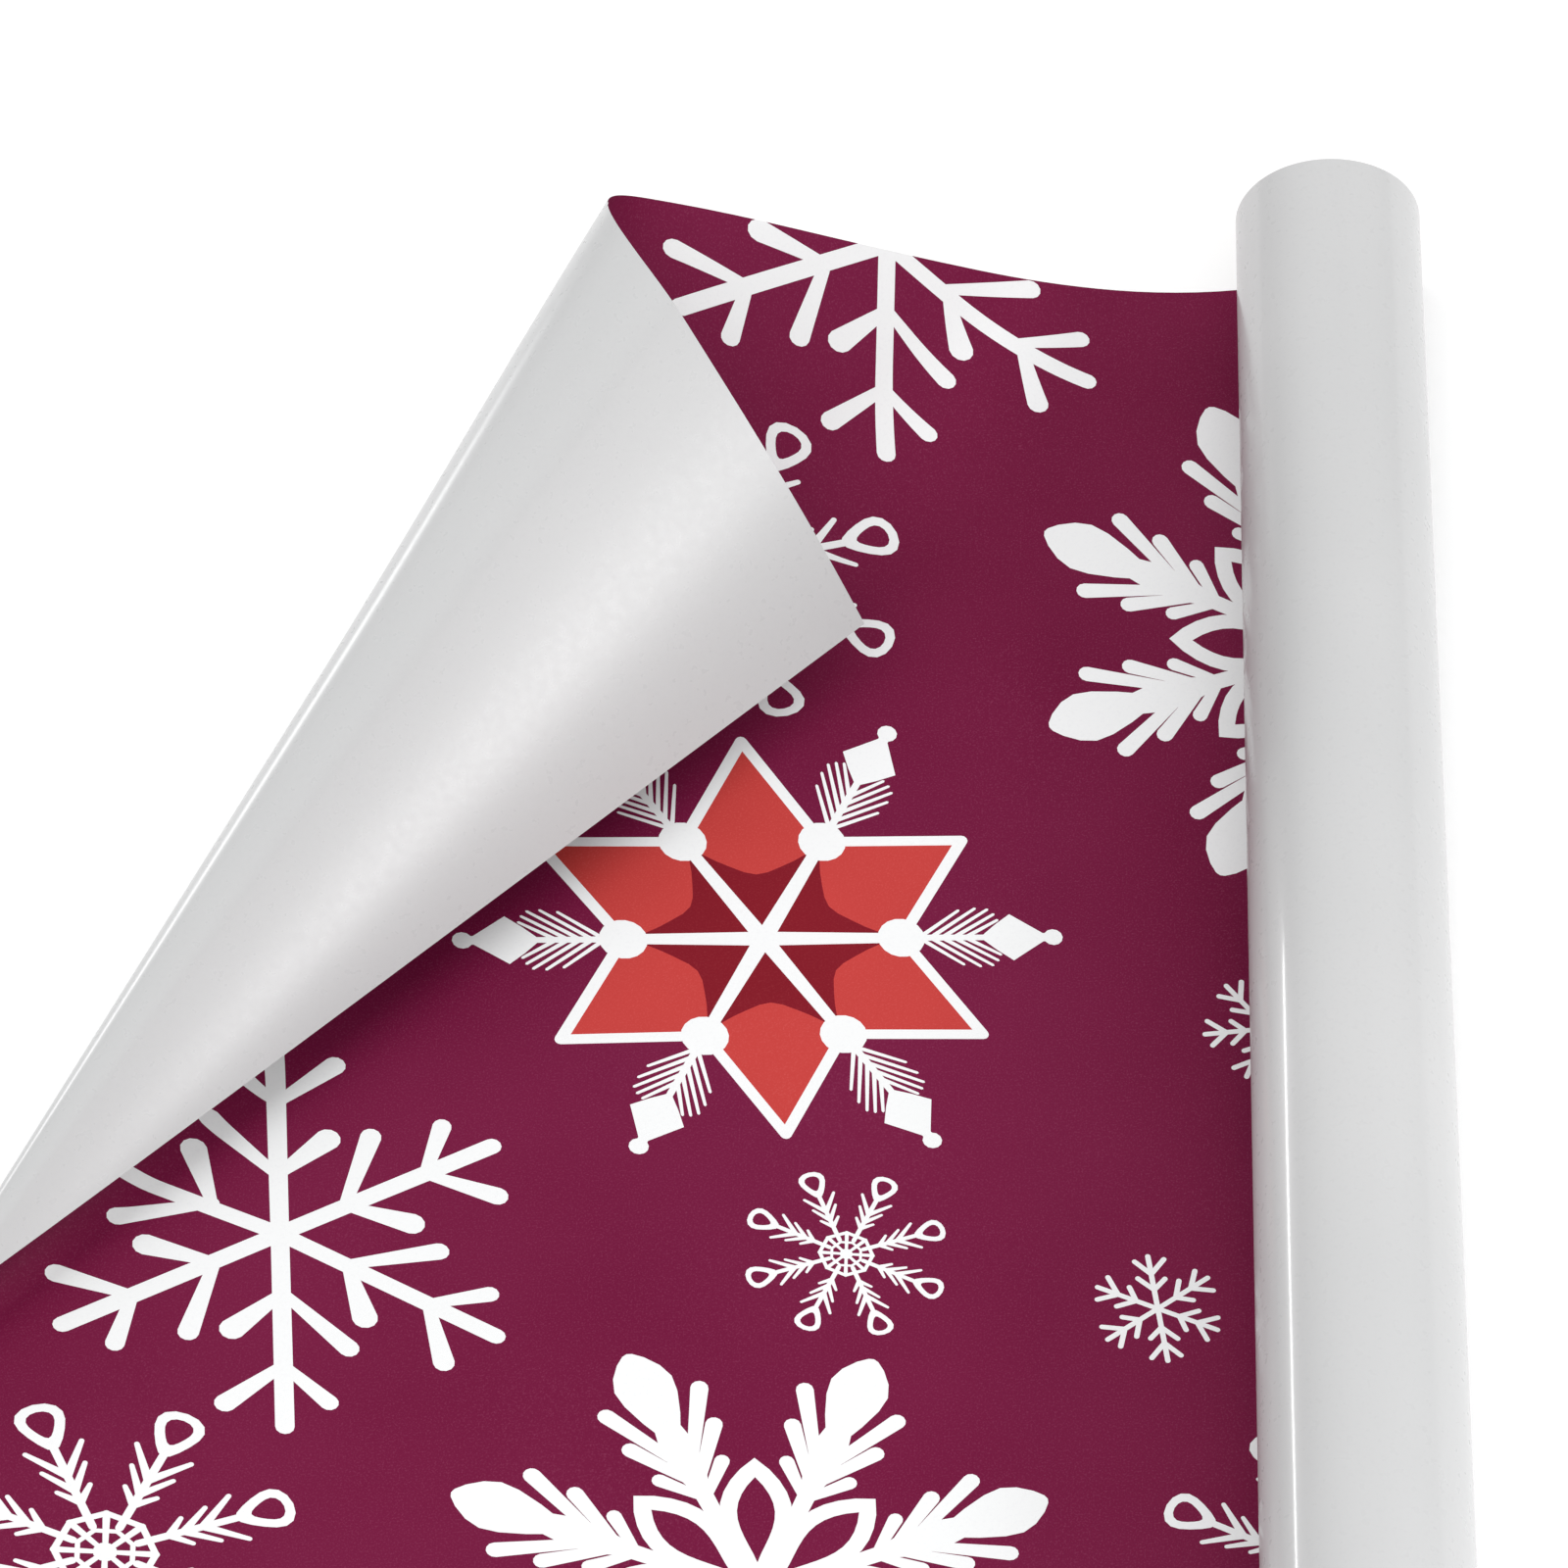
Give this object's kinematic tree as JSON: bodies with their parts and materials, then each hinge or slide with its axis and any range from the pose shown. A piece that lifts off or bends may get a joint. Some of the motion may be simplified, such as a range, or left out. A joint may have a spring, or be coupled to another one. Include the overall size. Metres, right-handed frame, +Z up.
{
  "type": "wrapping paper roll",
  "caption": "Roll of printed gift wrap on a cardboard core, partly unrolled flat with one far corner curled up and folded back over the sheet.",
  "frame": {"origin": "middle of the core's bore, on the roll's axis", "axes": "+Y along the roll, towards the end with the curled corner; +Z up, away from the table; +X from the laid sheet towards the roll"},
  "size_m": [0.3854, 0.584, 0.1056],
  "materials": {
    "kraft_core": "matte",
    "clear_tape": "satin",
    "white_back": "satin",
    "printed_face": "satin"
  },
  "bodies": {
    "sheet": {"laid_sheet": "printed_face", "corner_rise": "printed_face"},
    "outer_turn": {"outer_turn": "white_back"},
    "roll": {"core_inner_ply": "kraft_core", "core_outer_ply": "kraft_core", "start_tape": "clear_tape", "wound_paper": "white_back"},
    "flap": {"corner_flap": "white_back"}
  },
  "joints": [
    {"name": "roll_travel", "type": "slide", "parent": "sheet", "child": "outer_turn", "axis": [1, 0, 0], "range_m": [-0.02, 0.3]},
    {"name": "roll_spin", "type": "hinge", "parent": "outer_turn", "child": "roll", "pos_m": [0, 0, 0], "axis": [0, 1, 0], "range_deg": [-47, 702]},
    {"name": "flap_open", "type": "hinge", "parent": "sheet", "child": "flap", "pos_m": [-0.376, -0.04364, -0.0245], "axis": [-0.5491, -0.7871, -0.2809], "range_deg": [0, 90], "stiffness_Nm_per_rad": 0.002}
  ],
  "couplings": [
    {"joint": "roll_spin", "follows": "roll_travel", "rad_per_m": 40.816}
  ]
}
